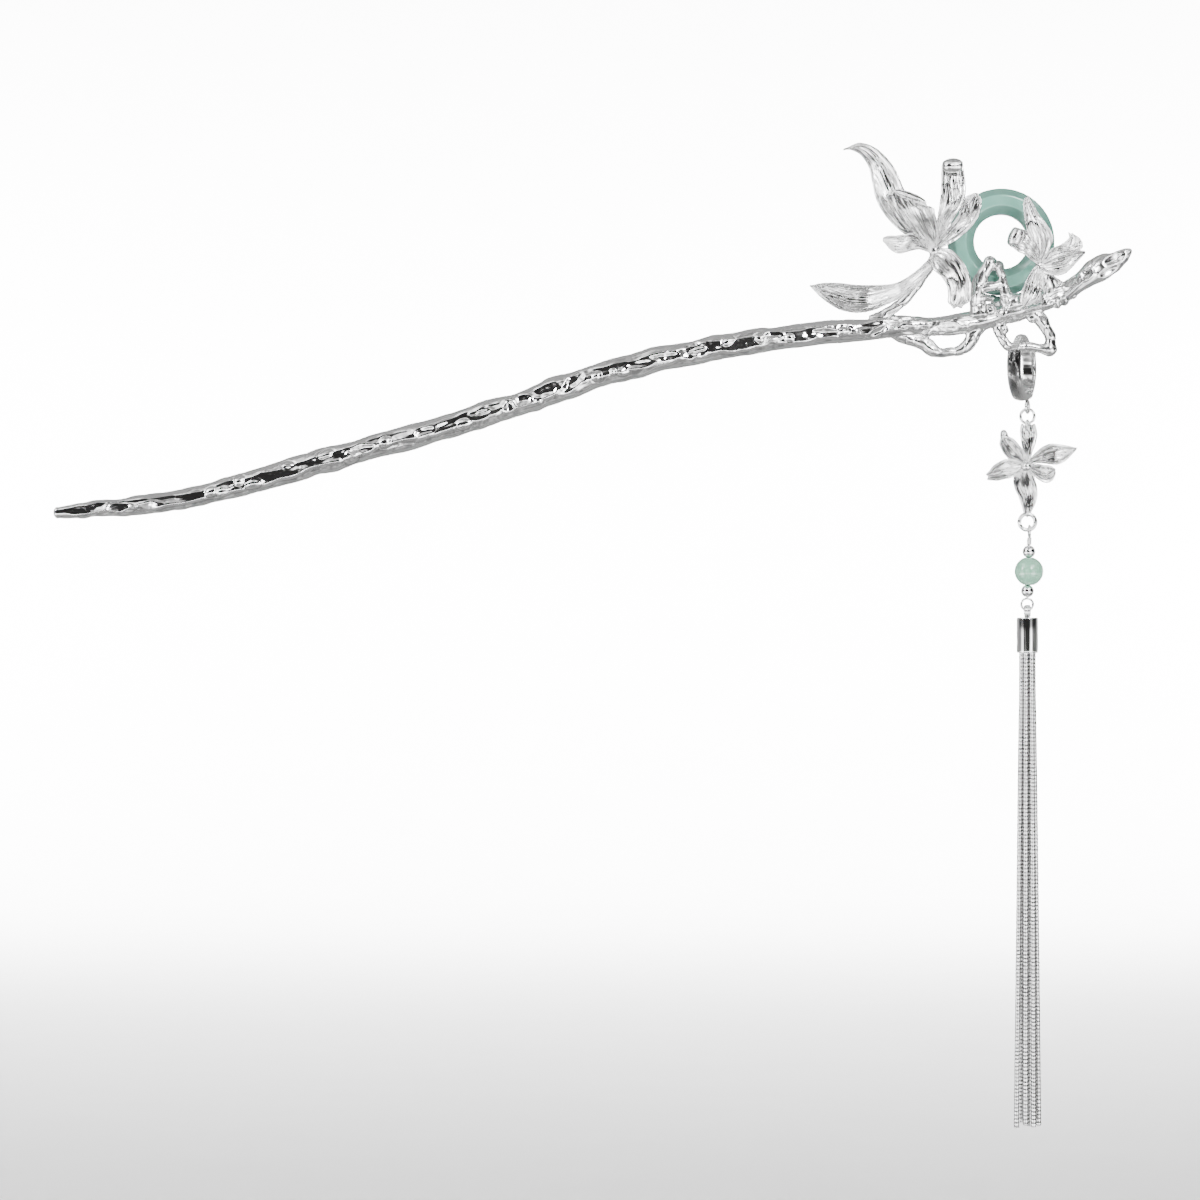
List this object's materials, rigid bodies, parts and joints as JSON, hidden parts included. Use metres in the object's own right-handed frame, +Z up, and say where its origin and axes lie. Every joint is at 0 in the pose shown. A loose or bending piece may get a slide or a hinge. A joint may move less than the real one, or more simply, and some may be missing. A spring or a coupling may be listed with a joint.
{
  "type": "buyao hairpin",
  "caption": "Long cast-metal hair stick shaped as a twig, with soldered orchids, a flat jade ring, and a bead and strand tassel drop that swings from a hinged bail.",
  "frame": {"origin": "on the stick's axis, where the hair grips it, a little left of its middle", "axes": "+X to the right, from the stick's blunt tip to the pod, +Z up, and -Y is the front that the flowers face"},
  "size_m": [0.162, 0.0105, 0.1474],
  "materials": {
    "silver_cast": "polished",
    "silver_smooth": "polished",
    "silver_strand": "satin",
    "jade_teal": "polished",
    "jade_pale": "polished"
  },
  "bodies": {
    "hair_stick": {"branch": "silver_cast", "jade_ring": "jade_teal"},
    "bail": {"bail_body": "silver_smooth"},
    "bail_arm": {"bail_arm": "silver_smooth"},
    "drop": {"jump_ring_upper": "silver_smooth", "charm_orchid": "silver_cast", "jump_ring_lower": "silver_smooth", "eye_pin": "silver_smooth", "bead_silver_upper": "silver_smooth", "bead_jade": "jade_pale", "bead_silver_lower": "silver_smooth", "end_cap": "silver_smooth", "tassel": "silver_strand"}
  },
  "joints": [
    {"name": "drop_swing", "type": "hinge", "parent": "hair_stick", "child": "bail", "pos_m": [0.0824, 0, 0.01073], "axis": [1, 0, 0], "range_deg": [-45, 45]},
    {"name": "bail_arm_hinge", "type": "hinge", "parent": "bail", "child": "bail_arm", "pos_m": [0.08295, 0.00151, 0.00377], "axis": [0.9397, -0.342, 0], "range_deg": [-35, 0]},
    {"name": "drop_sway", "type": "hinge", "parent": "bail", "child": "drop", "pos_m": [0.083, -0.00011, 0.00082], "axis": [0.342, 0.9397, 0], "range_deg": [-25, 25]}
  ]
}
